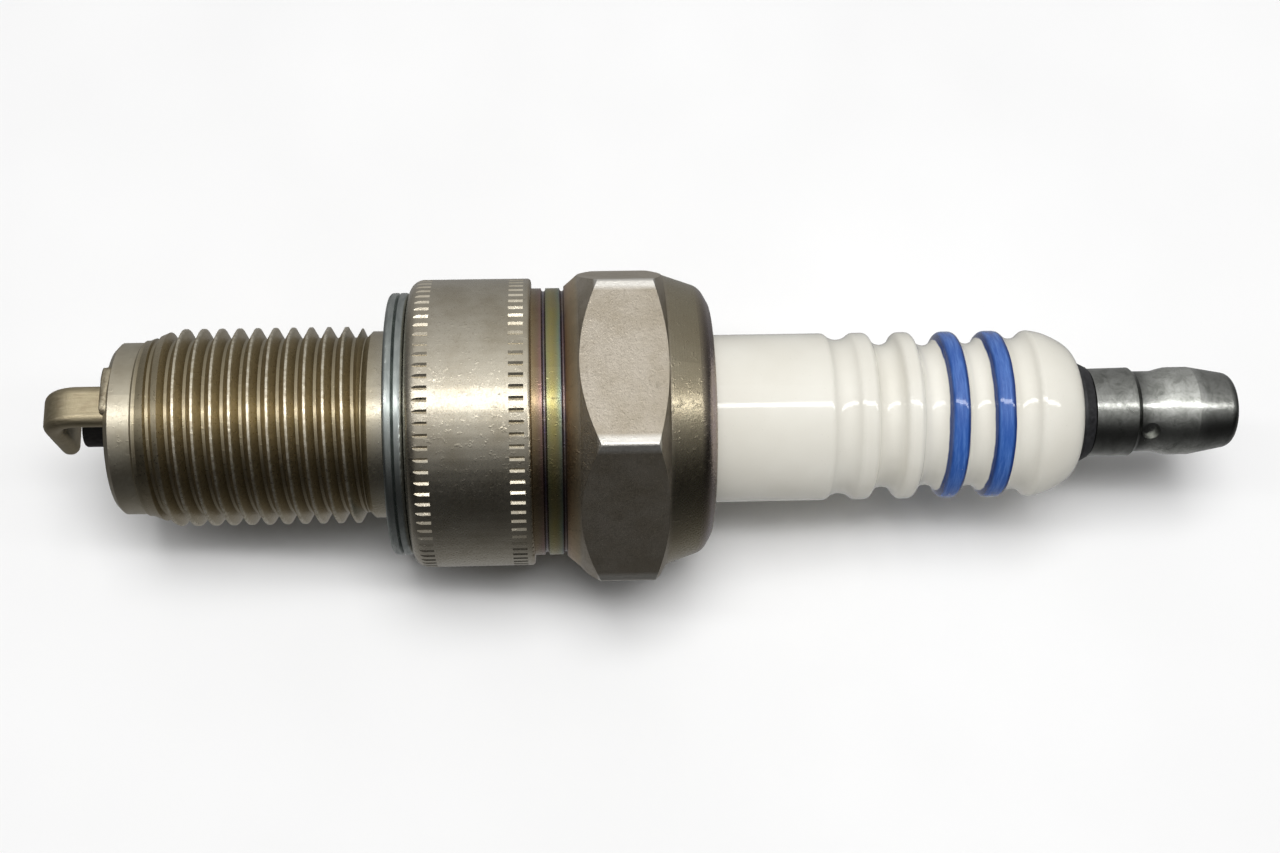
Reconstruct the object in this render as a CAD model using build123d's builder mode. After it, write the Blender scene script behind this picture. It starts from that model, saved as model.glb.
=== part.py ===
import os
from math import cos, hypot, radians, sin, tan

from build123d import *

# Spark plug, M14 x 1.25, 19 mm reach, 20.8 mm hexagon. Millimetres.
# The plug lies along X: electrodes towards -X, terminal towards +X.
# The origin is on the axis, in the plane of the gasket's sealing face.
# One flat of the hexagon faces straight down (-Z).

# Thread and nose of the shell
reach = 19.0
thread_diameter = 14.0
thread_pitch = 1.25
thread_allowance = 0.03
thread_start_angle = 69.0
pilot_length = 1.95
pilot_step = 0.15
relief_length = 1.25
relief_depth = 0.35
nose_chamfer = 0.35
front_bore_diameter = 9.0

# Captive gasket
gasket_diameter = 18.6
gasket_thickness = 1.4
gasket_lip_width = 0.5
gasket_clearance = 0.06
gasket_edge_groove = 0.22
gasket_fold_radius = 0.3
gasket_edge_break = 0.1

# Barrel, waist, hexagon and crimp of the shell
barrel_diameter = 20.4
barrel_length = 8.5
barrel_front_radius = 1.05
barrel_rear_radius = 0.25
tick_count = 80
tick_length = 1.0
tick_width = 0.32
tick_depth = 0.12
tick_front_margin = 0.65
tick_rear_margin = 0.5
waist_diameter = 19.0
waist_length = 2.15
waist_step_length = 0.85
waist_cone_length = 1.06
waist_groove_width = 0.32
waist_groove_depth = 0.22
hex_across_flats = 20.8
hex_length = 6.0
hex_front_cone = 50.0
hex_rear_chamfer = 30.0
hex_corner_wear = 0.3
crimp_length = 3.25
crimp_wall = 1.5
crimp_step = 0.05
crimp_drop = 0.95
crimp_knee_share = 0.2
crimp_knee_round = 1.3
crimp_lip_step = 0.3
crimp_lip_round = 0.4

# Bore of the shell
ledge_diameter = 8.0
ledge_length = 1.4
ledge_depth = 11.0
ledge_taper = 0.6
middle_bore_diameter = 10.3
main_bore_diameter = 16.0
main_bore_start = 6.8
bore_cone_length = 2.4

# Insulator
insulator_height = 48.8
insulator_diameter = 12.0
insulator_clearance = 0.15
collar_length = 4.6
collar_taper = 1.2
collar_front_gap = 0.5
nose_tip_diameter = 4.6
nose_root_diameter = 7.0
nose_setback = 0.5
nose_tip_radius = 0.5
insulator_end_diameter = 7.3
insulator_end_length = 3.5
# Rounded end: share of its length still to go, and how far the radius has drawn in there
insulator_end_points = ((0.55, 0.36), (0.2, 1.08))
insulator_end_slope = 0.25
rib_groove_first = 17.1
rib_groove_pitch = 3.14
rib_groove_depths = (0.47, 0.88, 0.97, 0.88, 0.57)
rib_groove_width = 2.0
rib_edge_radius = 0.45

# Electrodes
electrode_diameter = 2.5
electrode_projection = 2.6
electrode_tip_radius = 0.2
electrode_head_diameter = 3.9
electrode_head_length = 1.4
electrode_head_depth = 15.0
core_diameter = 1.3
core_setback = 1.6
spark_gap = 0.7
strap_width = 2.8
strap_thickness = 1.35
strap_outer_radius = 5.6
strap_bend_radius = 2.8
strap_overhang = 1.9
strap_angle = 85.7
strap_edge_radius = 0.62
strap_tip_radius = 0.55

# Column inside the insulator
stem_bore_diameter = 4.4
electrode_clearance = 0.04
column_clearance = 0.04
lower_glass_length = 4.6
resistor_length = 8.0
upper_glass_length = 4.5
stud_foot_depth = 3.0
stud_foot_rings = 3
stud_ring_width = 0.3
stud_ring_depth = 0.15

# Terminal
stud_stem_diameter = 3.5
stud_collar_diameter = 5.6
stud_collar_length = 0.6
stud_thread_diameter = 4.0
stud_thread_pitch = 0.7
stud_thread_allowance = 0.04
stud_thread_length = 8.4
stud_relief_length = 0.5
stud_tip_chamfer = 0.4
washer_thickness = 0.9
washer_outer_diameter = 7.3
washer_top_diameter = 6.6
washer_clearance = 0.05
washer_edge = 0.2
seat_play = 0.03
nut_length = 10.7
nut_collar_diameter = 6.4
nut_collar_length = 3.1
nut_neck_diameter = 5.82
nut_neck_length = 1.2
nut_head_diameter = 6.35
nut_head_length = 1.4
nut_tip_diameter = 5.2
nut_tip_length = 3.15
nut_tip_round = 0.8
nut_collar_step = 0.35
nut_collar_taper = 0.05
nut_base_chamfer = 0.12
nut_hole_spare = 0.9
nut_thread_clearance = 0.06
dimple_diameter = 1.3
dimple_depth = 0.45
dimple_angle = 38.0
dimple_place = 0.7

# Packing
packing_washer_thickness = 0.5
packing_clearance = 0.03
wire_diameter = 1.6
ring_gap = 0.1

# A sharp ISO profile has its flanks at 30 degrees to a plane across the axis
flank = tan(radians(30))
thread_depth_ratio = 0.6134
# Shares of the pitch: half the crest's flat, what the ridge is sunk into its core, how deep
# the trimming cones start under the root, and how far they rise over the crest
half_crest_share = 1 / 16
sink_share = 1 / 25
trim_toe_share = 3 / 50
trim_rise_share = 3 / 25
# Rise of the cones that trim the ridge: a long lead-in in front, a short run-out behind
lead_in_slope = 0.4
run_out_slope = 2.2
# The ring that is cut away round the hexagon reaches this far past its corners
hex_cut_margin = 1.0
# Places closer together than this count as the same
same_place = 0.001

# Radii worked out from the diameters
crest_radius = thread_diameter / 2 - thread_allowance
root_radius = crest_radius - thread_depth_ratio * thread_pitch
pilot_radius = root_radius - pilot_step
relief_radius = crest_radius - relief_depth
hex_inner_radius = hex_across_flats / 2
hex_corner_radius = hex_inner_radius / cos(radians(30))
insulator_radius = insulator_diameter / 2
collar_radius = main_bore_diameter / 2 - insulator_clearance
body_radius = middle_bore_diameter / 2 - insulator_clearance
electrode_bore_radius = electrode_diameter / 2 + electrode_clearance
stem_bore_radius = stem_bore_diameter / 2
column_radius = stem_bore_radius - column_clearance
lip_bore_radius = insulator_radius + insulator_clearance

# Stations along X, from the electrodes to the terminal
nose_x = -reach
thread_front_x = nose_x + pilot_length
thread_rear_x = -relief_length
thread_core_rear_x = thread_rear_x - relief_radius + root_radius
shoulder_x = gasket_thickness + seat_play
barrel_rear_x = shoulder_x + barrel_length
waist_rear_x = barrel_rear_x + waist_length
hex_front_x = waist_rear_x + waist_cone_length
hex_rear_x = hex_front_x + hex_length
crimp_rear_x = hex_rear_x + crimp_length
ledge_x = nose_x + ledge_depth
seat_x = ledge_x + ledge_length
main_bore_x = shoulder_x + main_bore_start
collar_front_x = main_bore_x + collar_front_gap
collar_rear_x = collar_front_x + collar_length
insulator_tip_x = nose_x + nose_setback
electrode_tip_x = nose_x - electrode_projection
head_front_x = nose_x + electrode_head_depth
head_rear_x = head_front_x + electrode_head_length
resistor_front_x = head_rear_x + lower_glass_length
resistor_rear_x = resistor_front_x + resistor_length
upper_glass_rear_x = resistor_rear_x + upper_glass_length
stud_foot_x = upper_glass_rear_x - stud_foot_depth
washer_front_x = insulator_height + seat_play
nut_base_x = washer_front_x + washer_thickness + seat_play
stud_tip_x = nut_base_x + stud_thread_length
rib_zone_x = insulator_height - rib_groove_first
rib_zone_end_x = rib_zone_x + len(rib_groove_depths) * rib_groove_pitch


def round_corners(outline, corner_radius, *places):
    # Rounds the corners of an outline that are nearest to the given (x, radius) places
    for x, r in places:
        fillet(outline.vertices().sort_by_distance((x, r, 0))[0], corner_radius)


def thread_ridge(core_front_x, core_rear_x, pitch, crest, root, start_angle=0.0):
    # Helical ridge of an ISO thread with true flats on its crest. The helix overruns its core by
    # half a pitch at both ends, and a cone at each end trims it back to the core.
    front_x = core_front_x - pitch / 2
    rear_x = core_rear_x + pitch / 2
    sink = sink_share * pitch
    half_crest = half_crest_share * pitch
    half_base = half_crest + (crest - root + sink) * flank
    half_top = half_crest - sink * flank
    toe_radius = root - trim_toe_share * pitch
    lift = crest - root + trim_rise_share * pitch
    with BuildPart() as ridge:
        with BuildLine():
            helix = Helix(pitch, rear_x - front_x, root, center=(front_x, 0, 0), direction=(1, 0, 0))
        with BuildSketch(Plane(helix @ 0, x_dir=(1, 0, 0), z_dir=helix % 0)):
            Polygon(
                (-half_base, -sink),
                (half_base, -sink),
                (half_top, crest + sink - root),
                (-half_top, crest + sink - root),
                align=None,
            )
        sweep(path=helix, is_frenet=True)
        with BuildSketch(Plane.YZ.offset(front_x - pitch)):
            Circle(crest)
        extrude(amount=rear_x - front_x + 2 * pitch, mode=Mode.INTERSECT)
        cones = ((core_front_x, 1, lead_in_slope), (core_rear_x, -1, run_out_slope))
        with BuildSketch(Plane.XZ):
            for end_x, inwards, slope in cones:
                toe_x = end_x + inwards * sink
                back_x = end_x - inwards * 2 * pitch
                with BuildLine():
                    Polyline(
                        (toe_x, toe_radius),
                        (toe_x + inwards * lift / slope, toe_radius + lift),
                        (back_x, toe_radius + lift),
                        (back_x, toe_radius),
                        close=True,
                    )
                make_face()
        revolve(axis=Axis.X, mode=Mode.SUBTRACT)
    return ridge.part.rotate(Axis.X, start_angle)


def disc(name, front_x, length, radius, inner_radius=0.0):
    # Plain disc or tube along X, written as a node of its own
    with BuildPart() as piece:
        with BuildSketch(Plane.YZ.offset(front_x)):
            Circle(radius)
            if inner_radius:
                Circle(inner_radius, mode=Mode.SUBTRACT)
        extrude(amount=length)
    write(piece.part, name)


def write(piece, name):
    piece.label = name
    export_step(piece, f"parts/{name}.step")


os.makedirs("parts", exist_ok=True)

# Metal shell: nose, thread, barrel, waist, hexagon and crimp in one piece
cone_slope = tan(radians(hex_front_cone))
cone_rise = (hex_corner_radius - hex_inner_radius) / cone_slope
chamfer_rise = (hex_corner_radius - hex_inner_radius) * tan(radians(hex_rear_chamfer))
crimp_knee_x = crimp_rear_x - crimp_knee_share * crimp_length
crimp_knee_radius = hex_inner_radius - crimp_drop
crimp_lip_radius = main_bore_diameter / 2 + crimp_lip_step
crimp_inner_x = crimp_rear_x - crimp_wall
bore_cone_x = main_bore_x - bore_cone_length

with BuildPart() as metal_shell:
    with BuildSketch(Plane.XZ) as shell_profile:
        with BuildLine():
            Polyline(
                (nose_x, front_bore_diameter / 2),
                (nose_x, pilot_radius - nose_chamfer),
                (nose_x + nose_chamfer, pilot_radius),
                (thread_front_x - pilot_step, pilot_radius),
                (thread_front_x, root_radius),
                (thread_core_rear_x, root_radius),
                (thread_rear_x, relief_radius),
                (shoulder_x, relief_radius),
                (shoulder_x, barrel_diameter / 2),
                (barrel_rear_x, barrel_diameter / 2),
                (barrel_rear_x, waist_diameter / 2),
                (waist_rear_x, waist_diameter / 2),
                (hex_front_x, hex_inner_radius),
                (hex_front_x + cone_rise, hex_corner_radius),
                (hex_rear_x - chamfer_rise, hex_corner_radius),
                (hex_rear_x, hex_inner_radius - crimp_step),
                (crimp_knee_x, crimp_knee_radius),
                (crimp_rear_x, crimp_lip_radius),
                (crimp_rear_x, lip_bore_radius),
                (crimp_inner_x, lip_bore_radius),
                (crimp_inner_x, main_bore_diameter / 2),
                (main_bore_x, main_bore_diameter / 2),
                (bore_cone_x, middle_bore_diameter / 2),
                (seat_x + (middle_bore_diameter - ledge_diameter) / 2, middle_bore_diameter / 2),
                (seat_x, ledge_diameter / 2),
                (ledge_x, ledge_diameter / 2),
                (ledge_x - ledge_taper, front_bore_diameter / 2),
                close=True,
            )
        make_face()
        round_corners(shell_profile, barrel_front_radius, (shoulder_x, barrel_diameter / 2))
        round_corners(shell_profile, barrel_rear_radius, (barrel_rear_x, barrel_diameter / 2))
        round_corners(shell_profile, crimp_knee_round, (crimp_knee_x, crimp_knee_radius))
        round_corners(shell_profile, crimp_lip_round, (crimp_rear_x, crimp_lip_radius))
    revolve(axis=Axis.X)
    # Two turned grooves bound the band of the waist that carries the heat tint
    with BuildSketch(Plane.XZ):
        for groove_x in (barrel_rear_x + waist_step_length, waist_rear_x):
            with Locations((groove_x, waist_diameter / 2)):
                Ellipse(waist_groove_width / 2, waist_groove_depth)
    revolve(axis=Axis.X, mode=Mode.SUBTRACT)
    # Two rows of short V-shaped ticks are rolled into the barrel
    for tick_x in (shoulder_x + tick_front_margin, barrel_rear_x - tick_rear_margin - tick_length):
        with BuildSketch(Plane.YZ.offset(tick_x)):
            with PolarLocations(0, tick_count):
                Polygon(
                    (barrel_diameter / 2 - tick_depth, 0),
                    (barrel_diameter / 2 + tick_depth, tick_width),
                    (barrel_diameter / 2 + tick_depth, -tick_width),
                    align=None,
                )
        extrude(amount=tick_length, mode=Mode.SUBTRACT)
    # The hexagon: everything outside its flats is taken off between waist and crimp
    with BuildSketch(Plane.YZ.offset(hex_front_x)):
        Circle(hex_corner_radius + hex_cut_margin)
        RegularPolygon(hex_corner_radius, 6, mode=Mode.SUBTRACT)
    extrude(amount=hex_length, mode=Mode.SUBTRACT)
    hex_corners = [
        edge
        for edge in metal_shell.edges().filter_by(Axis.X)
        if hypot(edge.center().Y, edge.center().Z) > hex_corner_radius - same_place
    ]
    fillet(hex_corners, hex_corner_wear)
    add(
        thread_ridge(
            thread_front_x, thread_core_rear_x, thread_pitch, crest_radius, root_radius, thread_start_angle
        )
    )
write(metal_shell.part, "metal_shell")

# Seal gasket: one folded sheet-steel ring, free to turn in the relief
lip_radius = relief_radius + gasket_clearance
gasket_radius = gasket_diameter / 2
fold_x = gasket_thickness / 2
with BuildPart() as seal_gasket:
    with BuildSketch(Plane.XZ) as gasket_profile:
        with BuildLine():
            Polyline(
                (0, crest_radius + gasket_lip_width),
                (0, gasket_radius),
                (fold_x - gasket_edge_groove / 2, gasket_radius),
                (fold_x, gasket_radius - gasket_edge_groove),
                (fold_x + gasket_edge_groove / 2, gasket_radius),
                (gasket_thickness, gasket_radius),
                (gasket_thickness, lip_radius + gasket_edge_break),
                (gasket_thickness - gasket_edge_break, lip_radius),
                (fold_x, lip_radius),
                (fold_x - gasket_edge_break, lip_radius + gasket_edge_break),
                (fold_x - gasket_edge_break, crest_radius + gasket_lip_width),
                close=True,
            )
        make_face()
        folds = ((0, gasket_radius), (gasket_thickness, gasket_radius))
        round_corners(gasket_profile, gasket_fold_radius, *folds)
    revolve(axis=Axis.X)
write(seal_gasket.part, "seal_gasket")

# Insulator: one turned and glazed piece of alumina
stem_seat_x = head_front_x + (stem_bore_radius - electrode_bore_radius)
nose_root_radius = nose_root_diameter / 2
tip_radius = nose_tip_diameter / 2
end_radius = insulator_end_diameter / 2
insulator_seat_x = seat_x + packing_washer_thickness
first_seat_x = insulator_seat_x + nose_root_radius - ledge_diameter / 2
end_points = [
    (insulator_height - share * insulator_end_length, insulator_radius - drop)
    for share, drop in insulator_end_points
]
with BuildPart() as insulator:
    with BuildSketch(Plane.XZ) as insulator_profile:
        with BuildLine():
            Polyline(
                (insulator_height - stud_collar_length, stud_collar_diameter / 2 + column_clearance),
                (insulator_height - stud_collar_length, stem_bore_radius),
                (stem_seat_x, stem_bore_radius),
                (head_front_x, electrode_bore_radius),
                (insulator_tip_x, electrode_bore_radius),
                (insulator_tip_x, tip_radius),
                (first_seat_x, nose_root_radius),
                (first_seat_x + body_radius - nose_root_radius, body_radius),
                (collar_front_x - bore_cone_length, body_radius),
                (collar_front_x, collar_radius),
                (collar_rear_x, collar_radius),
                (collar_rear_x + collar_taper, insulator_radius),
                (insulator_height - insulator_end_length, insulator_radius),
            )
            Spline(
                (insulator_height - insulator_end_length, insulator_radius),
                *end_points,
                (insulator_height, end_radius),
                tangents=((1, 0), (insulator_end_slope, -1)),
            )
            Polyline(
                (insulator_height, end_radius),
                (insulator_height, stud_collar_diameter / 2 + column_clearance),
                (insulator_height - stud_collar_length, stud_collar_diameter / 2 + column_clearance),
            )
        make_face()
        round_corners(insulator_profile, nose_tip_radius, (insulator_tip_x, tip_radius))
    revolve(axis=Axis.X)
    # Flashover grooves: rounded valleys whose edges roll over into the ribs
    with BuildSketch(Plane.XZ):
        for index, depth in enumerate(rib_groove_depths):
            centre_x = rib_zone_x + index * rib_groove_pitch
            with BuildLine():
                valley = ThreePointArc(
                    (centre_x - rib_groove_width / 2, insulator_radius),
                    (centre_x, insulator_radius - depth),
                    (centre_x + rib_groove_width / 2, insulator_radius),
                )
                Line(valley @ 1, valley @ 0)
            make_face()
    revolve(axis=Axis.X, mode=Mode.SUBTRACT)
    rims = insulator.edges().filter_by(GeomType.CIRCLE)
    rib_rims = [
        edge
        for edge in rims
        if abs(edge.radius - insulator_radius) < same_place
        and rib_zone_x - rib_groove_width < edge.center().X < rib_zone_end_x
    ]
    fillet(rib_rims, rib_edge_radius)
write(insulator.part, "insulator")

# Centre electrode: nickel sheath with a headed foot, and its copper core
electrode_radius = electrode_diameter / 2
head_radius = electrode_head_diameter / 2
core_radius = core_diameter / 2
head_cone = head_radius - electrode_radius
with BuildPart() as centre_electrode:
    with BuildSketch(Plane.XZ) as electrode_profile:
        with BuildLine():
            Polyline(
                (electrode_tip_x, 0),
                (electrode_tip_x, electrode_radius),
                (head_front_x + column_clearance, electrode_radius),
                (head_front_x + column_clearance + head_cone, head_radius),
                (head_rear_x, head_radius),
                (head_rear_x, core_radius),
                (electrode_tip_x + core_setback, core_radius),
                (electrode_tip_x + core_setback, 0),
                close=True,
            )
        make_face()
        round_corners(electrode_profile, electrode_tip_radius, (electrode_tip_x, electrode_radius))
    revolve(axis=Axis.X)
write(centre_electrode.part, "centre_electrode")
core_front_x = electrode_tip_x + core_setback
disc("copper_core", core_front_x, head_rear_x - core_front_x, core_radius)

# Ground electrode: a bent nickel strap, welded on the shell's front face
strap_top_x = electrode_tip_x - spark_gap
strap_outer_x = strap_top_x - strap_thickness
strap_inner_radius = strap_outer_radius - strap_thickness
strap_up = (0, -cos(radians(strap_angle)), sin(radians(strap_angle)))
strap_side = Vector(1, 0, 0).cross(Vector(*strap_up))
tip_place = Vector(strap_outer_x, 0, 0) - Vector(*strap_up) * strap_overhang
with BuildPart() as ground_electrode:
    with BuildSketch(Plane((0, 0, 0), x_dir=(1, 0, 0), z_dir=strap_side)) as strap_profile:
        with BuildLine():
            Polyline(
                (nose_x, strap_inner_radius),
                (nose_x, strap_outer_radius),
                (strap_outer_x, strap_outer_radius),
                (strap_outer_x, -strap_overhang),
                (strap_top_x, -strap_overhang),
                (strap_top_x, strap_inner_radius),
                close=True,
            )
        make_face()
        round_corners(strap_profile, strap_bend_radius, (strap_outer_x, strap_outer_radius))
        inner_bend = (strap_top_x, strap_inner_radius)
        round_corners(strap_profile, strap_bend_radius - strap_thickness, inner_bend)
    extrude(amount=strap_width / 2, both=True)
    tip_corners = ground_electrode.edges().filter_by(Axis.X).sort_by_distance(tip_place)[:2]
    fillet(tip_corners, strap_tip_radius)
    long_edges = [
        edge
        for edge in ground_electrode.edges()
        if abs(abs(edge.center().dot(strap_side)) - strap_width / 2) < same_place
        and edge.center().X < nose_x - same_place
    ]
    fillet(long_edges, strap_edge_radius)
write(ground_electrode.part, "ground_electrode")

# Fired column behind the centre electrode: glass, resistor, glass
disc("lower_glass_seal", head_rear_x, lower_glass_length, column_radius)
disc("resistor", resistor_front_x, resistor_length, column_radius)
foot_radius = stud_stem_diameter / 2
with BuildPart() as upper_glass_seal:
    with BuildSketch(Plane.YZ.offset(resistor_rear_x)):
        Circle(column_radius)
    extrude(amount=upper_glass_length)
    with BuildSketch(Plane.YZ.offset(upper_glass_rear_x)):
        Circle(foot_radius)
    extrude(amount=-stud_foot_depth, mode=Mode.SUBTRACT)
write(upper_glass_seal.part, "upper_glass_seal")

# Terminal stud: grooved foot in the glass, stem, collar and M4 thread
stud_crest = stud_thread_diameter / 2 - stud_thread_allowance
stud_root = stud_crest - thread_depth_ratio * stud_thread_pitch
stud_collar_front_x = insulator_height - stud_collar_length + seat_play
stud_neck_x = washer_front_x + washer_thickness
with BuildPart() as terminal_stud:
    with BuildSketch(Plane.XZ) as stud_profile:
        with BuildLine():
            Polyline(
                (stud_foot_x, 0),
                (stud_foot_x, foot_radius),
                (stud_collar_front_x, foot_radius),
                (stud_collar_front_x, stud_collar_diameter / 2),
                (insulator_height, stud_collar_diameter / 2),
                (insulator_height, stud_crest),
                (stud_neck_x, stud_crest),
                (stud_neck_x, stud_root),
                (stud_tip_x - stud_tip_chamfer, stud_root),
                (stud_tip_x, stud_root - stud_tip_chamfer),
                (stud_tip_x, 0),
                close=True,
            )
        make_face()
    revolve(axis=Axis.X)
    with BuildSketch(Plane.XZ):
        for ring in range(stud_foot_rings):
            ring_x = stud_foot_x + (ring + 1) * stud_foot_depth / (stud_foot_rings + 2)
            with Locations((ring_x, foot_radius)):
                Rectangle(stud_ring_width, 2 * stud_ring_depth)
    revolve(axis=Axis.X, mode=Mode.SUBTRACT)
    stud_thread_front_x = stud_neck_x + stud_relief_length
    stud_thread_rear_x = stud_tip_x - stud_tip_chamfer
    add(thread_ridge(stud_thread_front_x, stud_thread_rear_x, stud_thread_pitch, stud_crest, stud_root))
write(terminal_stud.part, "terminal_stud")

# Terminal washer: the dark cone between the porcelain and the nut
with BuildPart() as terminal_washer:
    with BuildSketch(Plane.XZ):
        with BuildLine():
            Polyline(
                (washer_front_x, stud_crest + washer_clearance),
                (washer_front_x, washer_outer_diameter / 2),
                (washer_front_x + washer_edge, washer_outer_diameter / 2),
                (washer_front_x + washer_thickness, washer_top_diameter / 2),
                (washer_front_x + washer_thickness, stud_crest + washer_clearance),
                close=True,
            )
        make_face()
    revolve(axis=Axis.X)
write(terminal_washer.part, "terminal_washer")

# Terminal nut: collar, neck for the cap's spring clip, and rounded head
nut_collar_x = nut_base_x + nut_collar_length
nut_neck_x = nut_collar_x + nut_collar_step
nut_swell_x = nut_neck_x + nut_neck_length
nut_tip_x = nut_base_x + nut_length
nut_head_rear_x = nut_tip_x - nut_tip_length
nut_head_front_x = nut_head_rear_x - nut_head_length
nut_bore_radius = stud_crest + nut_thread_clearance
collar_edge = nut_collar_diameter / 2
neck_radius = nut_neck_diameter / 2
head_land = nut_head_diameter / 2
dimple_out = (0, -cos(radians(dimple_angle)), sin(radians(dimple_angle)))
dimple_plane = Plane((nut_neck_x + dimple_place, 0, 0), x_dir=(1, 0, 0), z_dir=dimple_out)
with BuildPart() as terminal_nut:
    with BuildSketch(Plane.XZ) as nut_profile:
        with BuildLine():
            Polyline(
                (nut_swell_x, neck_radius),
                (nut_neck_x, neck_radius),
                (nut_collar_x, collar_edge),
                (nut_base_x + nut_base_chamfer, collar_edge - nut_collar_taper),
                (nut_base_x, collar_edge - nut_collar_taper - nut_base_chamfer),
                (nut_base_x, 0),
                (nut_tip_x, 0),
                (nut_tip_x, nut_tip_diameter / 2),
                (nut_head_rear_x, head_land),
                (nut_head_front_x, head_land),
            )
            Spline(
                (nut_head_front_x, head_land),
                (nut_swell_x, neck_radius),
                tangents=((-1, 0), (-1, 0)),
            )
        make_face()
        round_corners(nut_profile, nut_tip_round, (nut_tip_x, nut_tip_diameter / 2))
    revolve(axis=Axis.X)
    with BuildSketch(Plane.YZ.offset(nut_base_x)):
        Circle(nut_bore_radius)
    extrude(amount=stud_thread_length + nut_hole_spare, mode=Mode.SUBTRACT)
    with BuildSketch(dimple_plane.offset(neck_radius - dimple_depth)):
        Circle(dimple_diameter / 2)
    extrude(amount=2 * dimple_depth, mode=Mode.SUBTRACT)
write(terminal_nut.part, "terminal_nut")

# Packing between the shell and the insulator
# The washer lies on the cone of the shell's ledge
washer_inner = ledge_diameter / 2 + packing_clearance
washer_outer = body_radius - packing_clearance
with BuildPart() as packing_washer:
    with BuildSketch(Plane.XZ):
        with BuildLine():
            Polyline(
                (seat_x + packing_clearance + washer_inner - ledge_diameter / 2, washer_inner),
                (seat_x + packing_clearance + washer_outer - ledge_diameter / 2, washer_outer),
                (insulator_seat_x - packing_clearance + washer_outer - ledge_diameter / 2, washer_outer),
                (insulator_seat_x - packing_clearance + washer_inner - ledge_diameter / 2, washer_inner),
                close=True,
            )
        make_face()
    revolve(axis=Axis.X)
write(packing_washer.part, "packing_washer")

# Talc powder is rammed between two steel wire rings, behind the insulator's collar
room_middle = (main_bore_diameter / 2 + insulator_radius) / 2
wire_radius = wire_diameter / 2
front_ring_x = collar_rear_x + collar_taper + wire_radius
rear_ring_x = crimp_inner_x - wire_radius - packing_clearance
for name, ring_x in (("front_sealing_ring", front_ring_x), ("rear_sealing_ring", rear_ring_x)):
    with BuildPart() as sealing_ring:
        with BuildSketch(Plane.XZ):
            with Locations((ring_x, room_middle)):
                Circle(wire_radius)
        revolve(axis=Axis.X)
    write(sealing_ring.part, name)
talc_front_x = front_ring_x + wire_radius + ring_gap
talc_length = rear_ring_x - wire_radius - ring_gap - talc_front_x
talc_outer = main_bore_diameter / 2 - packing_clearance
disc("talc_filling", talc_front_x, talc_length, talc_outer, insulator_radius + packing_clearance)
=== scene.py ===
from math import pi, radians

import bpy
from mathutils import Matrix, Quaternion, Vector


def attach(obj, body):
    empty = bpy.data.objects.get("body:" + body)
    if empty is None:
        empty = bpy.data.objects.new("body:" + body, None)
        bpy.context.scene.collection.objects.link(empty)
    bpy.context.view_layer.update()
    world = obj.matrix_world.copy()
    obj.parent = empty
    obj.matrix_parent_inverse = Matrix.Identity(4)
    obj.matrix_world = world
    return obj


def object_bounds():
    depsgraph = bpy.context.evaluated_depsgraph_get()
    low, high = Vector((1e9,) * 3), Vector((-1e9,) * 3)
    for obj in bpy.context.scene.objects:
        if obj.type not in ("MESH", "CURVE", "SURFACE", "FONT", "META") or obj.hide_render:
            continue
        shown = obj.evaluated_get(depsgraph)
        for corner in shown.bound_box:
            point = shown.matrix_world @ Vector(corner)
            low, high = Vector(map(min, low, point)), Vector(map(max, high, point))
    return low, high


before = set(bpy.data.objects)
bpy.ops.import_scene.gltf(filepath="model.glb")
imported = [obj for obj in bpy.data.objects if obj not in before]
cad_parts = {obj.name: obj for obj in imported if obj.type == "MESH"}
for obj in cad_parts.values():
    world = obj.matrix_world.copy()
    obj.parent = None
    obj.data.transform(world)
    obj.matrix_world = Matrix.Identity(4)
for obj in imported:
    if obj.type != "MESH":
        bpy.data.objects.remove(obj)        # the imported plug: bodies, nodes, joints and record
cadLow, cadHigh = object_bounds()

mm = 0.001


# small helpers for node trees
def put(tree, kind, inputs=None, **settings):
    made = tree.nodes.new(kind)
    for key, value in settings.items():
        setattr(made, key, value)
    for key, value in (inputs or {}).items():
        if isinstance(value, bpy.types.NodeSocket):
            tree.links.new(value, made.inputs[key])
        else:
            made.inputs[key].default_value = value
    return made


def startFinish(name, **onShader):
    # a material with its shader, and the piece's own place in millimetres
    mat = bpy.data.materials.new(name)
    mat.use_nodes = True
    tree = mat.node_tree
    tree.nodes.clear()
    shader = put(tree, "ShaderNodeBsdfPrincipled")
    for key, value in onShader.items():
        shader.inputs[key.replace("_", " ")].default_value = value
    out = put(tree, "ShaderNodeOutputMaterial")
    tree.links.new(shader.outputs[0], out.inputs[0])
    coords = put(tree, "ShaderNodeTexCoord").outputs["Object"]
    place = put(tree, "ShaderNodeMapping", {"Vector": coords, "Scale": (1000, 1000, 1000)}).outputs[0]
    return mat, tree, shader, place


def noise(tree, place, scale, detail=3.0, rough=0.5, stretch=(1, 1, 1), distortion=0.0):
    if stretch != (1, 1, 1):
        place = put(tree, "ShaderNodeMapping", {"Vector": place, "Scale": stretch}).outputs[0]
    wanted = {
        "Vector": place, "Scale": scale, "Detail": detail, "Roughness": rough, "Distortion": distortion,
    }
    return put(tree, "ShaderNodeTexNoise", wanted).outputs[0]


def maths(tree, operation, a, b=0.0):
    return put(tree, "ShaderNodeMath", {0: a, 1: b}, operation=operation).outputs[0]


def between(tree, value, low, high, toLow=0.0, toHigh=1.0):
    wanted = {"Value": value, "From Min": low, "From Max": high, "To Min": toLow, "To Max": toHigh}
    return put(tree, "ShaderNodeMapRange", wanted).outputs[0]


def within(tree, value, rise, fall):
    # 1 from one soft edge to the other, each given by where it starts and ends
    return maths(tree, "MULTIPLY", between(tree, value, *rise), between(tree, value, *fall))


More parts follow.
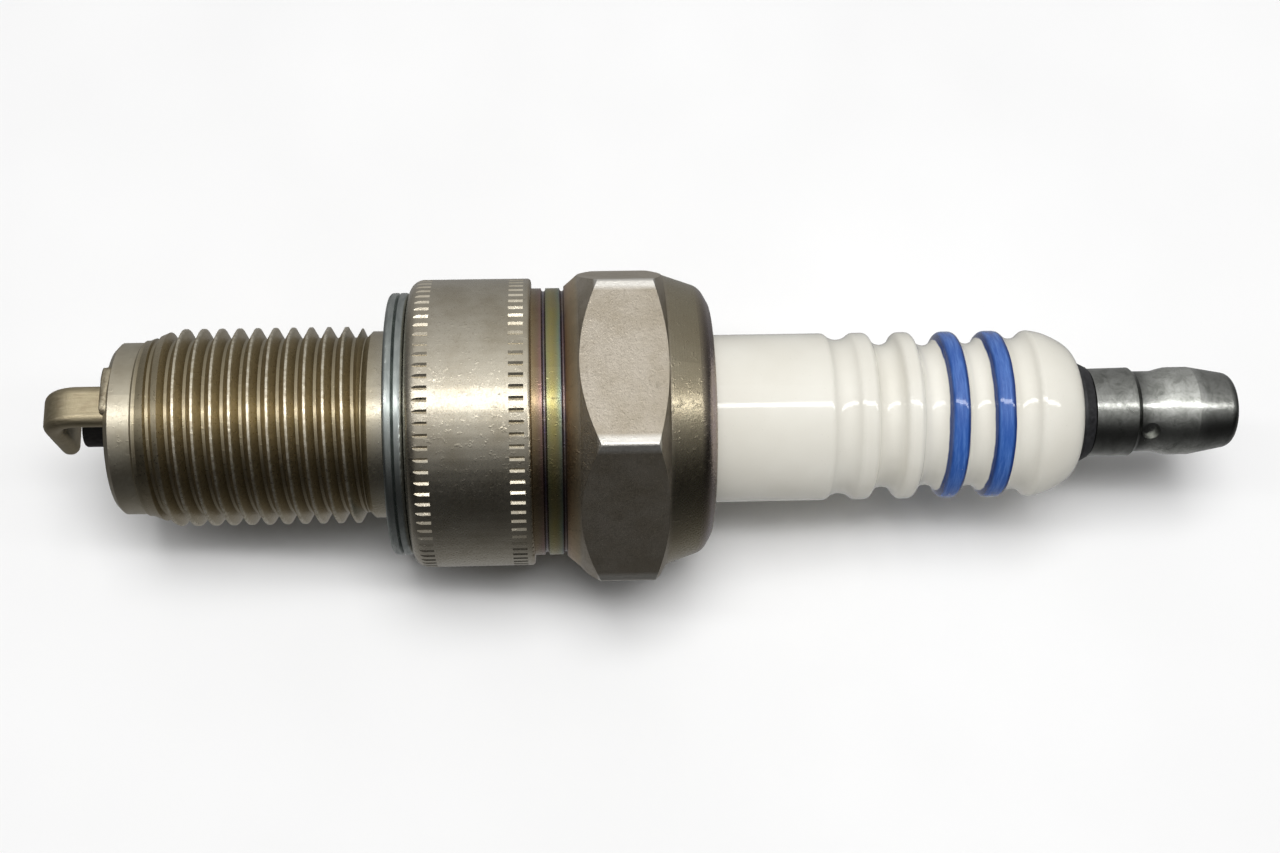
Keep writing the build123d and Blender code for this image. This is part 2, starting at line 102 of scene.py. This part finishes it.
def ramp(tree, value, stops, kind="LINEAR"):
    made = put(tree, "ShaderNodeValToRGB", {"Fac": value})
    made.color_ramp.interpolation = kind
    points = made.color_ramp.elements
    while len(points) < len(stops):
        points.new(0.5)
    for point, (at, colour) in zip(points, stops):
        point.position = at
        point.color = (*colour, 1) if isinstance(colour, tuple) else (colour, colour, colour, 1)
    return made.outputs[0]


def blendColour(tree, factor, a, b, mode="MIX"):
    made = put(tree, "ShaderNodeMix", {0: factor}, data_type="RGBA", blend_type=mode)
    for slot, value in ((6, a), (7, b)):
        if isinstance(value, bpy.types.NodeSocket):
            tree.links.new(value, made.inputs[slot])
        else:
            made.inputs[slot].default_value = (*value, 1)
    return made.outputs[2]


def alongX(tree, place):
    return put(tree, "ShaderNodeSeparateXYZ", {0: place}).outputs[0]


def fromAxis(tree, place):
    parts = put(tree, "ShaderNodeSeparateXYZ", {0: place})
    y2 = maths(tree, "MULTIPLY", parts.outputs[1], parts.outputs[1])
    z2 = maths(tree, "MULTIPLY", parts.outputs[2], parts.outputs[2])
    return maths(tree, "SQRT", maths(tree, "ADD", y2, z2))


def zones(tree, x, stops, first, last):
    # a ramp whose stops are given in millimetres along the plug
    share = between(tree, x, first, last)
    return ramp(tree, share, [((at - first) / (last - first), colour) for at, colour in stops])


def wander(tree, place, scale, detail, reach):
    # the place along the plug, off by up to half of reach, so that edges aren't ruler straight
    drift = maths(tree, "SUBTRACT", noise(tree, place, scale, detail), 0.5)
    return maths(tree, "ADD", alongX(tree, place), maths(tree, "MULTIPLY", drift, reach))


def bump(tree, shader, height, strength, distance, before=None):
    wanted = {"Strength": strength, "Distance": distance * mm, "Height": height}
    made = put(tree, "ShaderNodeBump", wanted)
    if before is not None:
        tree.links.new(before, made.inputs["Normal"])
    tree.links.new(made.outputs[0], shader.inputs["Normal"])
    return made.outputs[0]


def feed(tree, shader, **sockets):
    for key, value in sockets.items():
        tree.links.new(value, shader.inputs[key.replace("_", " ")])


cameraSet = dict(
    lens=49.0, sensor=36.0, nearest=5,
    place=(11.5, -47.4, 115.4), aim=(17.5, -0.8, 0.7), roll=5.79,
)

camData = bpy.data.cameras.new("camera")
camData.lens = cameraSet["lens"]
camData.sensor_width = cameraSet["sensor"]
camData.clip_start = cameraSet["nearest"] * mm
cam = bpy.data.objects.new("camera", camData)
bpy.context.collection.objects.link(cam)
cam.location = Vector(cameraSet["place"]) * mm
look = (Vector(cameraSet["aim"]) * mm - cam.location).to_track_quat("-Z", "Y")
cam.rotation_mode = "QUATERNION"
cam.rotation_quaternion = look @ Quaternion((0, 0, 1), radians(cameraSet["roll"]))
bpy.context.scene.camera = cam
print("camera placed")

studio = dict(
    floorSize=4.0,
    paper=[(0.3, (0.87, 0.87, 0.87)), (0.7, (0.90, 0.90, 0.90))],
    paperRough=0.85,
    # a long narrow lamp draws the bright line, a broad one above it lights what isn't shiny
    strip=dict(place=(15, -39, 478), size=(1.3, 0.05), watts=1.2),
    overhead=dict(place=(30, 5, 500), size=(0.30, 0.24), watts=1.85),
    lampsAim=(18, 0, 0),
    # brightness round the plug: share of a turn from below, over -Y, up, +Y and back
    sky=[
        (0.00, 0.32), (0.05, 0.26), (0.12, 0.14), (0.21, 0.032), (0.29, 0.024), (0.333, 0.07),
        (0.358, 0.16), (0.394, 0.34), (0.425, 0.58), (0.467, 0.92), (0.50, 1.00), (0.561, 0.90),
        (0.606, 0.68), (0.689, 0.46), (0.84, 0.27), (1.0, 0.32),
    ],
    # the sky darkens towards the plug's two ends
    endsFrom=0.35, endsTo=0.90, endsKeep=0.30,
    # what is left of the sky for surfaces that aren't shiny
    skyOnMatt=0.30,
    background=(0.96, 0.96, 0.96),
)

bpy.context.scene.view_settings.view_transform = "Standard"

bpy.ops.object.select_all(action="DESELECT")
bpy.ops.mesh.primitive_plane_add(size=studio["floorSize"], location=(0, 0, cadLow.z))
floor = bpy.context.object
floor.name = "floor"
bpy.ops.object.transform_apply(location=True)
floorMat, tree, shader, place = startFinish("floorPaper", Roughness=studio["paperRough"])
mottle = noise(tree, place, scale=0.05, detail=2.0)
feed(tree, shader, Base_Color=ramp(tree, mottle, studio["paper"]))
floor.data.materials.append(floorMat)
floor.visible_glossy = False

world = bpy.data.worlds.new("studio")
bpy.context.scene.world = world
world.use_nodes = True
tree = world.node_tree
tree.nodes.clear()
towards = put(tree, "ShaderNodeTexCoord").outputs["Generated"]
parts = put(tree, "ShaderNodeSeparateXYZ", {0: towards})
turn = maths(tree, "ARCTAN2", parts.outputs[1], parts.outputs[2])
glow = ramp(tree, between(tree, turn, -pi, pi), studio["sky"], "B_SPLINE")
endwise = maths(tree, "ABSOLUTE", parts.outputs[0])
ends = between(tree, endwise, studio["endsFrom"], studio["endsTo"], 1.0, studio["endsKeep"])
glow = put(tree, "ShaderNodeVectorMath", {0: glow, 1: ends}, operation="MULTIPLY").outputs[0]
rays = put(tree, "ShaderNodeLightPath").outputs
dimming = between(tree, rays["Is Diffuse Ray"], 0, 1, 1.0, studio["skyOnMatt"])
glow = put(tree, "ShaderNodeVectorMath", {0: glow, 1: dimming}, operation="MULTIPLY").outputs[0]
seen = blendColour(tree, rays["Is Camera Ray"], glow, studio["background"])
back = put(tree, "ShaderNodeBackground", {"Color": seen, "Strength": 1.0})
out = put(tree, "ShaderNodeOutputWorld")
tree.links.new(back.outputs[0], out.inputs[0])


def addLamp(name, settings, showsInGloss=True):
    data = bpy.data.lights.new(name, "AREA")
    data.shape = "RECTANGLE"
    data.size, data.size_y = settings["size"]
    data.energy = settings["watts"]
    lamp = bpy.data.objects.new(name, data)
    bpy.context.collection.objects.link(lamp)
    lamp.location = Vector(settings["place"]) * mm
    lamp.rotation_mode = "QUATERNION"
    towardsPlug = Vector(studio["lampsAim"]) * mm - lamp.location
    lamp.rotation_quaternion = towardsPlug.to_track_quat("-Z", "Y")
    lamp.visible_glossy = showsInGloss


addLamp("strip", studio["strip"])
addLamp("overhead", studio["overhead"], showsInGloss=False)
print("stage ready")

# places are in millimetres from the gasket's seat, radii from the plug's axis
shellSet = dict(
    # brown in the thread, tinted by heat at the waist, darker again on the crimp
    span=(-20, 24),
    tints=[
        (-19.6, (0.62, 0.57, 0.46)), (-17.3, (0.60, 0.55, 0.43)), (-16.7, (0.52, 0.45, 0.31)),
        (-1.8, (0.52, 0.45, 0.31)), (-0.2, (0.60, 0.56, 0.46)), (1.3, (0.62, 0.57, 0.47)),
        (9.7, (0.62, 0.57, 0.46)), (9.95, (0.34, 0.25, 0.13)), (10.35, (0.24, 0.17, 0.11)),
        (10.62, (0.30, 0.17, 0.15)), (10.8, (0.10, 0.09, 0.20)), (10.95, (0.30, 0.32, 0.16)),
        (11.2, (0.40, 0.35, 0.13)), (11.55, (0.31, 0.27, 0.11)), (11.8, (0.24, 0.30, 0.20)),
        (12.0, (0.10, 0.11, 0.22)), (12.2, (0.30, 0.17, 0.10)), (12.45, (0.55, 0.38, 0.22)),
        (12.95, (0.62, 0.50, 0.33)), (13.15, (0.59, 0.53, 0.44)),
        (19.0, (0.59, 0.53, 0.44)), (19.3, (0.45, 0.40, 0.29)), (21.2, (0.42, 0.37, 0.26)),
        (22.1, (0.30, 0.24, 0.26)), (22.5, (0.36, 0.31, 0.24)),
    ],
    roughness=[
        (-19.0, 0.36), (-17.3, 0.34), (-16.8, 0.30), (-1.6, 0.30), (1.0, 0.26), (9.6, 0.26),
        (11.0, 0.24), (12.5, 0.32), (13.1, 0.40), (19.0, 0.42), (19.3, 0.24), (22.4, 0.26),
    ],
    specksRough=(-0.06, 0.14), edgesWander=0.25,
    patches=(0.36, 0.30, 0.20), patchesMost=0.45,
    dust=(0.26, 0.21, 0.15), dustMost=0.5, dustFrom=(-1.0, 0.5),
    thread=((-17.2, -16.8), (-0.9, -1.3)),
    # painted shade in the thread's roots: its colour, how strong it is and the radii where it fades
    paintedRootShade=(0.24, 0.20, 0.12), paintedRootShadeMost=0.4, rootRadii=(6.6, 6.25),
    rubbed=(0.86, 0.80, 0.66), rubbedLeast=0.2, rubbedMost=0.9, crestRadii=(6.80, 6.93),
    hexagon=((13.0, 13.3), (19.25, 19.0)),
    scratches=(0.27, 0.23, 0.18), scratchesMost=0.45,
    worn=(0.96, 0.93, 0.86), cornerRadii=(11.62, 11.80),
)


def platedShellFinish():
    mat, tree, shader, place = startFinish("platedShell", Metallic=1.0)
    r = fromAxis(tree, place)
    x = wander(tree, place, scale=0.35, detail=2.0, reach=shellSet["edgesWander"])
    inThread = within(tree, x, *shellSet["thread"])
    onHex = within(tree, x, *shellSet["hexagon"])
    colour = zones(tree, x, shellSet["tints"], *shellSet["span"])
    patches = noise(tree, place, scale=0.45, detail=4.0, rough=0.6)
    patches = between(tree, patches, 0.38, 0.70, 0.0, shellSet["patchesMost"])
    colour = blendColour(tree, patches, colour, shellSet["patches"])
    speck = noise(tree, place, scale=5.5, detail=4.0, rough=0.7)
    dust = between(tree, speck, 0.56, 0.72, 0.0, shellSet["dustMost"])
    dust = maths(tree, "MULTIPLY", dust, between(tree, x, *shellSet["dustFrom"]))
    colour = blendColour(tree, dust, colour, shellSet["dust"])
    # painted shade darkens the roots of the thread
    paintedRootShade = maths(tree, "MULTIPLY", inThread, between(tree, r, *shellSet["rootRadii"]))
    paintedRootShade = maths(tree, "MULTIPLY", paintedRootShade, shellSet["paintedRootShadeMost"])
    colour = blendColour(tree, paintedRootShade, colour, shellSet["paintedRootShade"])
    # the crests are rubbed bright in places
    rubbed = maths(tree, "MULTIPLY", between(tree, r, *shellSet["crestRadii"]), inThread)
    rubs = noise(tree, place, scale=2.6, detail=3.0, rough=0.7)
    rubs = between(tree, rubs, 0.40, 0.60, shellSet["rubbedLeast"], shellSet["rubbedMost"])
    colour = blendColour(tree, maths(tree, "MULTIPLY", rubbed, rubs), colour, shellSet["rubbed"])
    # scratches and dark pits on the hexagon's flats
    scratches = noise(tree, place, scale=1.3, detail=5.0, rough=0.75,
                      stretch=(1.6, 0.7, 0.7), distortion=0.8)
    scratches = between(tree, scratches, 0.56, 0.72, 0.0, shellSet["scratchesMost"])
    colour = blendColour(tree, maths(tree, "MULTIPLY", scratches, onHex), colour, shellSet["scratches"])
    # the hexagon's corners are worn bright
    worn = maths(tree, "MULTIPLY", between(tree, r, *shellSet["cornerRadii"]), onHex)
    colour = blendColour(tree, worn, colour, shellSet["worn"])
    rough = zones(tree, x, shellSet["roughness"], *shellSet["span"])
    rough = maths(tree, "ADD", rough, between(tree, speck, 0.3, 0.8, *shellSet["specksRough"]))
    feed(tree, shader, Base_Color=colour, Roughness=rough)
    # turned lines all round, then the frosted grain of the hexagon's flats, then nicks
    lines = noise(tree, place, scale=1.0, detail=3.0, rough=0.6, stretch=(9.0, 0.25, 0.25))
    turned = bump(tree, shader, lines, strength=0.25, distance=0.02)
    frost = maths(tree, "MULTIPLY", noise(tree, place, scale=4.0, detail=5.0, rough=0.75), onHex)
    frosted = bump(tree, shader, frost, strength=0.55, distance=0.06, before=turned)
    nicks = between(tree, noise(tree, place, scale=2.2, detail=3.0, rough=0.7), 0.58, 0.80)
    bump(tree, shader, nicks, strength=0.35, distance=0.05, before=frosted)
    return mat


gasketSet = dict(
    zinc=[(0.3, (0.30, 0.33, 0.32)), (0.55, (0.42, 0.45, 0.43)), (0.8, (0.52, 0.55, 0.53))],
    roughness=(0.36, 0.22),
)


def zincGasketFinish():
    mat, tree, shader, place = startFinish("zincGasket", Metallic=1.0)
    streaks = noise(tree, place, scale=1.0, detail=4.0, rough=0.6, stretch=(4.0, 0.8, 0.8))
    rough = between(tree, streaks, 0.3, 0.8, *gasketSet["roughness"])
    feed(tree, shader, Base_Color=ramp(tree, streaks, gasketSet["zinc"]), Roughness=rough)
    dents = noise(tree, place, scale=3.0, detail=4.0, rough=0.6)
    bump(tree, shader, dents, strength=0.2, distance=0.03)
    return mat


porcelainSet = dict(
    white=[(0.3, (0.75, 0.725, 0.645)), (0.7, (0.80, 0.78, 0.705))],
    pores=(0.55, 0.52, 0.46), poresMost=0.25,
    roughness=(0.07, 0.13),
    # the rings run from one place to the other, with a soft outer line and a dark margin
    bands=((38.75, 40.20), (41.90, 43.35)), soft=0.05, margin=0.16, bandsWander=0.22,
    blue=(0.030, 0.10, 0.37), navy=(0.010, 0.035, 0.16), pale=(0.075, 0.18, 0.50),
)


def glazedPorcelainFinish():
    # white glaze with two printed blue rings on the middle ribs
    glaze = dict(IOR=1.52, Coat_Weight=0.35, Coat_Roughness=0.03)
    mat, tree, shader, place = startFinish("glazedPorcelain", **glaze)
    x = wander(tree, place, scale=0.35, detail=3.0, reach=porcelainSet["bandsWander"])
    cloud = noise(tree, place, scale=0.22, detail=3.0)
    pores = between(tree, noise(tree, place, scale=7.0, detail=2.0, rough=0.5), 0.68, 0.76)
    pores = maths(tree, "MULTIPLY", pores, porcelainSet["poresMost"])
    white = blendColour(tree, pores, ramp(tree, cloud, porcelainSet["white"]), porcelainSet["pores"])
    soft, margin = porcelainSet["soft"], porcelainSet["margin"]
    rings, cores = [], []
    for front, rear in porcelainSet["bands"]:
        rings.append(within(tree, x, (front, front + soft), (rear, rear - soft)))
        inFrom, inTo = front + margin, rear - margin
        cores.append(within(tree, x, (inFrom, inFrom + margin), (inTo, inTo - margin)))
    ring, core = maths(tree, "MAXIMUM", *rings), maths(tree, "MAXIMUM", *cores)
    streaks = noise(tree, place, scale=1.0, detail=4.0, rough=0.65, stretch=(5.0, 0.5, 0.5))
    streaks = between(tree, streaks, 0.42, 0.66)
    ink = blendColour(tree, streaks, porcelainSet["blue"], porcelainSet["pale"])
    ink = blendColour(tree, core, porcelainSet["navy"], ink)
    kept = between(tree, noise(tree, place, scale=2.4, detail=4.0, rough=0.7), 0.22, 0.28)
    colour = blendColour(tree, maths(tree, "MULTIPLY", ring, kept), white, ink)
    rough = between(tree, cloud, 0.3, 0.7, *porcelainSet["roughness"])
    feed(tree, shader, Base_Color=colour, Roughness=rough)
    bump(tree, shader, noise(tree, place, scale=0.8, detail=2.0), strength=0.12, distance=0.05)
    return mat


strapSet = dict(
    nickel=[(0.3, (0.40, 0.34, 0.22)), (0.6, (0.50, 0.43, 0.29)), (0.8, (0.60, 0.53, 0.38))],
    stain=(0.33, 0.26, 0.17), stainMost=0.6,
    roughness=(0.42, 0.56),
)


def nickelStrapFinish():
    mat, tree, shader, place = startFinish("nickelStrap", Metallic=1.0)
    drawn = noise(tree, place, scale=1.0, detail=4.0, rough=0.65, stretch=(0.6, 6.0, 3.0))
    stain = noise(tree, place, scale=1.1, detail=3.0, rough=0.6)
    stain = between(tree, stain, 0.5, 0.75, 0.0, strapSet["stainMost"])
    colour = blendColour(tree, stain, ramp(tree, drawn, strapSet["nickel"]), strapSet["stain"])
    rough = between(tree, drawn, 0.3, 0.8, *strapSet["roughness"])
    feed(tree, shader, Base_Color=colour, Roughness=rough)
    bump(tree, shader, drawn, strength=0.35, distance=0.05)
    return mat


tipSet = dict(
    soot=[(0.35, (0.008, 0.007, 0.006)), (0.75, (0.035, 0.032, 0.028))],
    roughness=(0.55, 0.85),
)


def sootyTipFinish():
    mat, tree, shader, place = startFinish("sootyTip", Metallic=0.0)
    soot = noise(tree, place, scale=3.0, detail=5.0, rough=0.7)
    rough = between(tree, soot, 0.3, 0.8, *tipSet["roughness"])
    feed(tree, shader, Base_Color=ramp(tree, soot, tipSet["soot"]), Roughness=rough)
    bump(tree, shader, soot, strength=0.4, distance=0.04)
    return mat


nutSet = dict(
    # zinc gone cloudy from handling
    zinc=[
        (0.30, (0.34, 0.35, 0.32)), (0.47, (0.58, 0.59, 0.55)),
        (0.60, (0.70, 0.71, 0.67)), (0.75, (0.78, 0.79, 0.75)),
    ],
    # painted highlight and shade along the nut: darker on the collar and the tip, darker still at the
    # neck, bright on the head
    span=(49, 61),
    paintedHighlightShade=[
        (49.8, 0.50), (52.6, 0.55), (53.2, 0.30), (54.2, 0.75),
        (55.2, 1.0), (57.2, 1.0), (58.0, 0.62), (60.4, 0.50),
    ],
    specks=(0.20, 0.20, 0.18), specksMost=0.5,
    roughness=(0.28, 0.16),
)


def mottledNutFinish():
    mat, tree, shader, place = startFinish("mottledNut", Metallic=1.0)
    cloud = noise(tree, place, scale=1.1, detail=5.0, rough=0.7,
                  stretch=(1.0, 0.8, 0.8), distortion=0.6)
    fine = noise(tree, place, scale=6.0, detail=4.0, rough=0.7)
    specks = between(tree, fine, 0.58, 0.74, 0.0, nutSet["specksMost"])
    colour = blendColour(tree, specks, ramp(tree, cloud, nutSet["zinc"]), nutSet["specks"])
    # painted highlight and shade: the colour is scaled by a brightness set along the nut
    paintedHighlightShade = zones(tree, alongX(tree, place), nutSet["paintedHighlightShade"], *nutSet["span"])
    colour = blendColour(tree, 1.0, colour, paintedHighlightShade, "MULTIPLY")
    rough = between(tree, cloud, 0.3, 0.75, *nutSet["roughness"])
    feed(tree, shader, Base_Color=colour, Roughness=rough)
    bump(tree, shader, fine, strength=0.25, distance=0.03)
    return mat


# plain turned metal: the stud, the copper core and the packing rings
turnedSet = dict(
    stud=((0.62, 0.62, 0.60), (0.40, 0.40, 0.39)),
    copper=((0.80, 0.42, 0.26), (0.58, 0.27, 0.15)),
    packing=((0.66, 0.66, 0.65), (0.45, 0.45, 0.44)),
    roughness=(0.42, 0.28),
)


def turnedSteelFinish(name, light, dark):
    mat, tree, shader, place = startFinish(name, Metallic=1.0)
    lines = noise(tree, place, scale=1.0, detail=3.0, rough=0.6, stretch=(8.0, 0.6, 0.6))
    rough = between(tree, lines, 0.3, 0.7, *turnedSet["roughness"])
    feed(tree, shader, Base_Color=ramp(tree, lines, [(0.3, dark), (0.7, light)]), Roughness=rough)
    bump(tree, shader, lines, strength=0.2, distance=0.02)
    return mat


# grainy and not metallic: light, dark, how fine the grain is, roughness
massSet = dict(
    glass=((0.36, 0.31, 0.28), (0.20, 0.16, 0.14), 3.0, (0.15, 0.4)),
    washer=((0.03, 0.03, 0.032), (0.008, 0.008, 0.009), 4.0, (0.35, 0.6)),
    resistor=((0.11, 0.10, 0.10), (0.03, 0.03, 0.03), 4.0, (0.45, 0.8)),
    talc=((0.84, 0.82, 0.77), (0.70, 0.68, 0.63), 5.0, (0.7, 0.9)),
)


def firedMassFinish(name, light, dark, grain, rough):
    mat, tree, shader, place = startFinish(name)
    grains = noise(tree, place, scale=grain, detail=4.0, rough=0.65)
    colour = ramp(tree, grains, [(0.35, dark), (0.7, light)])
    feed(tree, shader, Base_Color=colour, Roughness=between(tree, grains, 0.3, 0.7, *rough))
    bump(tree, shader, grains, strength=0.3, distance=0.03)
    return mat


# the bead that the weld pushed out round the strap's root
weldSet = dict(
    place=(-18.92, 0.2, 4.9), size=(1.0, 4.0, 2.1), turn=4.3,
    cuts=6, smoothing=12, lumps=0.2, seed=7, levels=2,
    crust=[(0.30, (0.24, 0.19, 0.13)), (0.50, (0.48, 0.42, 0.30)), (0.75, (0.62, 0.56, 0.43))],
    roughness=(0.5, 0.3),
)


def weldFinish():
    mat, tree, shader, place = startFinish("burntWeld", Metallic=1.0)
    crust = noise(tree, place, scale=2.5, detail=4.0, rough=0.7)
    rough = between(tree, crust, 0.3, 0.8, *weldSet["roughness"])
    feed(tree, shader, Base_Color=ramp(tree, crust, weldSet["crust"]), Roughness=rough)
    bump(tree, shader, crust, strength=0.4, distance=0.06)
    return mat


bpy.ops.object.select_all(action="DESELECT")
bpy.ops.mesh.primitive_cube_add(size=1, location=Vector(weldSet["place"]) * mm)
weldFlash = bpy.context.object
weldFlash.name = "weldFlash"
weldFlash.scale = Vector(weldSet["size"]) * mm
bpy.ops.object.transform_apply(location=True, rotation=True, scale=True)
bpy.ops.object.mode_set(mode="EDIT")
bpy.ops.mesh.select_all(action="SELECT")
bpy.ops.mesh.subdivide(number_cuts=weldSet["cuts"])
bpy.ops.mesh.vertices_smooth(factor=0.5, repeat=weldSet["smoothing"])
bpy.ops.transform.vertex_random(offset=weldSet["lumps"] * mm, seed=weldSet["seed"])
bpy.ops.mesh.vertices_smooth(factor=0.5, repeat=1)
bpy.ops.transform.rotate(value=radians(weldSet["turn"]), orient_axis="X", center_override=(0, 0, 0))
bpy.ops.mesh.normals_make_consistent(inside=False)
bpy.ops.object.mode_set(mode="OBJECT")
rounded = weldFlash.modifiers.new("rounded", "SUBSURF")
rounded.levels = rounded.render_levels = weldSet["levels"]
bpy.ops.object.modifier_apply(modifier="rounded")
bpy.ops.object.shade_smooth()
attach(weldFlash, "plug_body")
weldFlash.data.materials.append(weldFinish())
print("weld flash made")

sealGlass = firedMassFinish("sealGlass", *massSet["glass"])
packingSteel = turnedSteelFinish("packingSteel", *turnedSet["packing"])
finishOf = {
    "metal_shell": platedShellFinish(),
    "seal_gasket": zincGasketFinish(),
    "insulator": glazedPorcelainFinish(),
    "ground_electrode": nickelStrapFinish(),
    "centre_electrode": sootyTipFinish(),
    "terminal_nut": mottledNutFinish(),
    "terminal_stud": turnedSteelFinish("turnedStud", *turnedSet["stud"]),
    "terminal_washer": firedMassFinish("blackWasher", *massSet["washer"]),
    "copper_core": turnedSteelFinish("copperCore", *turnedSet["copper"]),
    "lower_glass_seal": sealGlass,
    "upper_glass_seal": sealGlass,
    "resistor": firedMassFinish("resistorMass", *massSet["resistor"]),
    "packing_washer": packingSteel,
    "front_sealing_ring": packingSteel,
    "rear_sealing_ring": packingSteel,
    "talc_filling": firedMassFinish("pressedTalc", *massSet["talc"]),
}
for nodeName, finish in finishOf.items():
    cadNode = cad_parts[nodeName]
    cadNode.data.materials.clear()
    cadNode.data.materials.append(finish)
print("finishes on", len(finishOf), "nodes")
